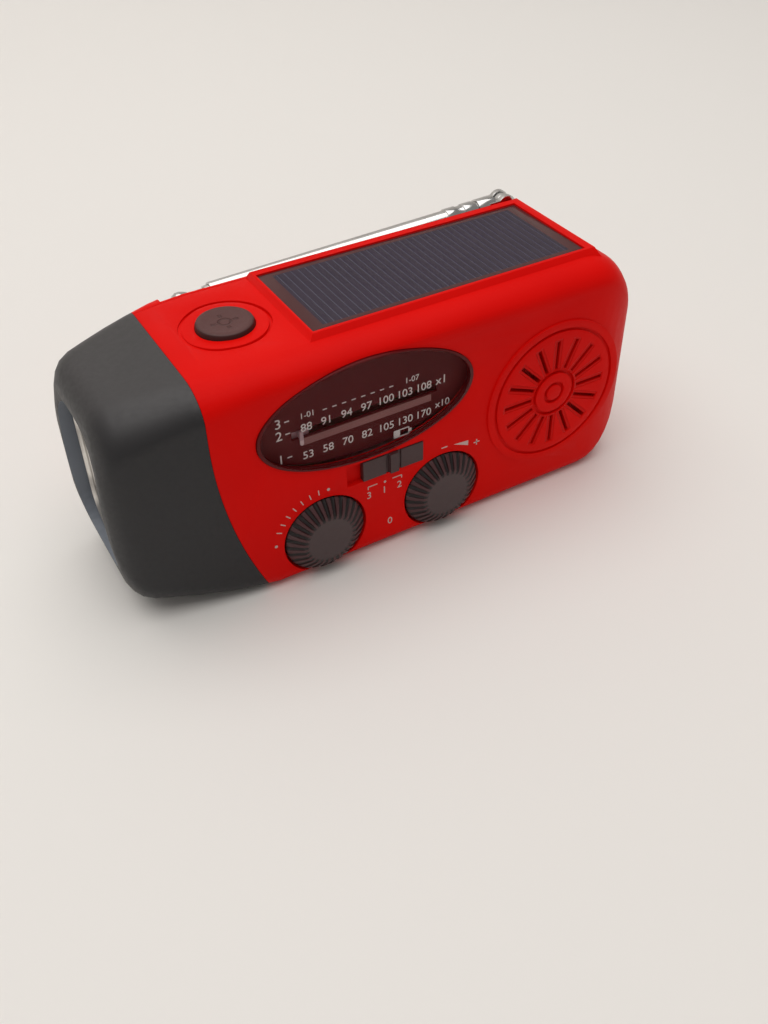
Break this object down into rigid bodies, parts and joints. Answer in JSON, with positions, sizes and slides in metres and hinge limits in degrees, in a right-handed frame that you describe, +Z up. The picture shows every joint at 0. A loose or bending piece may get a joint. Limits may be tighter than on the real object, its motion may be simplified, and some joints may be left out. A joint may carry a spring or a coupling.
{
  "type": "emergency radio",
  "caption": "Hand-crank emergency radio: rounded housing with lamp head, oval tuning dial, fluted knobs, speaker grille, solar panel, folding telescopic aerial and folding crank.",
  "frame": {"origin": "middle of the flat bottom face, midway between the bulge of the lamp mouth and the right end", "axes": "+X along the radio from the lamp to the speaker end, dial faces -Y, +Z up"},
  "size_m": [0.1334, 0.0537, 0.0586],
  "materials": {
    "red_plastic": "satin",
    "black_plastic": "matte",
    "control_plastic": "matte",
    "clear_lens": "polished",
    "dial_glass": "polished",
    "dial_print": "printed",
    "pointer": "gloss",
    "reflector": "mirror",
    "diode": "gloss",
    "solar": "gloss",
    "chrome": "polished",
    "steel": "machined",
    "circuit_board": "solder mask",
    "chip": "moulded",
    "ferrite": "sintered",
    "copper": "enamelled wire",
    "battery": "shrink sleeve",
    "gear_plastic": "moulded",
    "brass": "machined",
    "cone": "paper",
    "rubber": "matte"
  },
  "bodies": {
    "housing": {"front_shell": "red_plastic", "rear_shell": "red_plastic", "lamp_hood": "black_plastic", "lamp_lens": "clear_lens", "lamp_reflector": "reflector", "lamp_leds": "diode", "led_board": "circuit_board", "solar_panel": "solar", "torch_switch": "chip", "dial_window": "dial_glass", "dial_plate": "dial_print", "tuning_capacitor": "gear_plastic", "volume_control": "steel", "band_switch": "steel", "speaker_basket": "steel", "speaker_cone": "cone", "speaker_magnet": "ferrite", "main_board": "circuit_board", "board_chips": "chip", "ferrite_rod": "ferrite", "ferrite_coils": "copper", "battery_cell": "battery", "idler_axle": "steel", "dynamo": "steel", "gear_frame": "gear_plastic", "charge_board": "circuit_board", "usb_a_socket": "steel", "usb_c_socket": "steel", "housing_screws": "steel"},
    "torch_button": {"torch_button": "control_plastic"},
    "dial_pointer": {"dial_pointer": "pointer"},
    "tuning_knob": {"tuning_knob": "control_plastic"},
    "volume_knob": {"volume_knob": "control_plastic"},
    "band_slider": {"band_slider": "control_plastic"},
    "aerial_base": {"aerial_base": "chrome"},
    "aerial_arm": {"aerial_knuckle": "chrome", "aerial_pin": "chrome", "aerial_tube_1": "chrome"},
    "aerial_tube_2": {"aerial_tube_2": "chrome"},
    "aerial_tube_3": {"aerial_tube_3": "chrome"},
    "aerial_rod": {"aerial_rod": "chrome", "aerial_tip": "chrome"},
    "crank": {"crank_hub": "black_plastic", "crank_arm": "black_plastic", "grip_pin": "steel", "drive_gear": "gear_plastic"},
    "grip_post": {"grip_post": "steel"},
    "crank_grip": {"crank_grip": "black_plastic"},
    "idler": {"idler_gear": "gear_plastic"},
    "dynamo_rotor": {"dynamo_pinion": "brass"},
    "port_cover": {"port_cover": "rubber"}
  },
  "joints": [
    {"name": "torch_press", "type": "slide", "parent": "housing", "child": "torch_button", "axis": [0, 0, -1], "range_m": [0, 0.0012], "stiffness_N_per_m": 600},
    {"name": "tuning_turn", "type": "hinge", "parent": "housing", "child": "tuning_knob", "pos_m": [-0.02095, -0.0225, 0.0111], "axis": [0, 1, 0], "range_deg": [0, 300]},
    {"name": "pointer_slide", "type": "slide", "parent": "housing", "child": "dial_pointer", "axis": [1, 0, 0], "range_m": [0, 0.0316]},
    {"name": "volume_turn", "type": "hinge", "parent": "housing", "child": "volume_knob", "pos_m": [0.01025, -0.0225, 0.0111], "axis": [0, 1, 0], "range_deg": [0, 300]},
    {"name": "band_select", "type": "slide", "parent": "housing", "child": "band_slider", "axis": [1, 0, 0], "range_m": [-0.0039, 0]},
    {"name": "aerial_swivel", "type": "hinge", "parent": "housing", "child": "aerial_base", "pos_m": [0.05415, 0.0202, 0.056], "axis": [0, 0, 1], "range_deg": [-180, 0]},
    {"name": "aerial_lift", "type": "hinge", "parent": "aerial_base", "child": "aerial_arm", "pos_m": [0.05415, 0.0202, 0.056], "axis": [0, 1, 0], "range_deg": [0, 150]},
    {"name": "aerial_pull_1", "type": "slide", "parent": "aerial_arm", "child": "aerial_tube_2", "axis": [-0.9996, 0, -0.0279], "range_m": [0, 0.062]},
    {"name": "aerial_pull_2", "type": "slide", "parent": "aerial_tube_2", "child": "aerial_tube_3", "axis": [-0.9996, 0, -0.0279], "range_m": [0, 0.062]},
    {"name": "aerial_pull_3", "type": "slide", "parent": "aerial_tube_3", "child": "aerial_rod", "axis": [-0.9996, 0, -0.0279], "range_m": [0, 0.062]},
    {"name": "crank_turn", "type": "hinge", "parent": "housing", "child": "crank", "pos_m": [0.03675, 0.0225, 0.027], "axis": [0, 1, 0], "continuous": true},
    {"name": "idler_turn", "type": "hinge", "parent": "housing", "child": "idler", "pos_m": [0.01755, 0.008, 0.027], "axis": [0, 1, 0], "continuous": true},
    {"name": "dynamo_turn", "type": "hinge", "parent": "housing", "child": "dynamo_rotor", "pos_m": [0.00075, 0.008, 0.027], "axis": [0, 1, 0], "continuous": true},
    {"name": "grip_fold", "type": "hinge", "parent": "crank", "child": "grip_post", "pos_m": [-0.00725, 0.026, 0.027], "axis": [0, 0, 1], "range_deg": [0, 90]},
    {"name": "grip_turn", "type": "hinge", "parent": "grip_post", "child": "crank_grip", "pos_m": [-0.00725, 0.026, 0.027], "axis": [1, 0, 0], "continuous": true},
    {"name": "port_cover_open", "type": "hinge", "parent": "housing", "child": "port_cover", "pos_m": [-0.03345, 0.0219, 0.014], "axis": [0, 0, 1], "range_deg": [0, 100]}
  ],
  "couplings": [
    {"joint": "pointer_slide", "follows": "tuning_turn", "m_per_rad": 0.006},
    {"joint": "idler_turn", "follows": "crank_turn", "ratio": -3},
    {"joint": "dynamo_turn", "follows": "crank_turn", "ratio": 7.5}
  ]
}
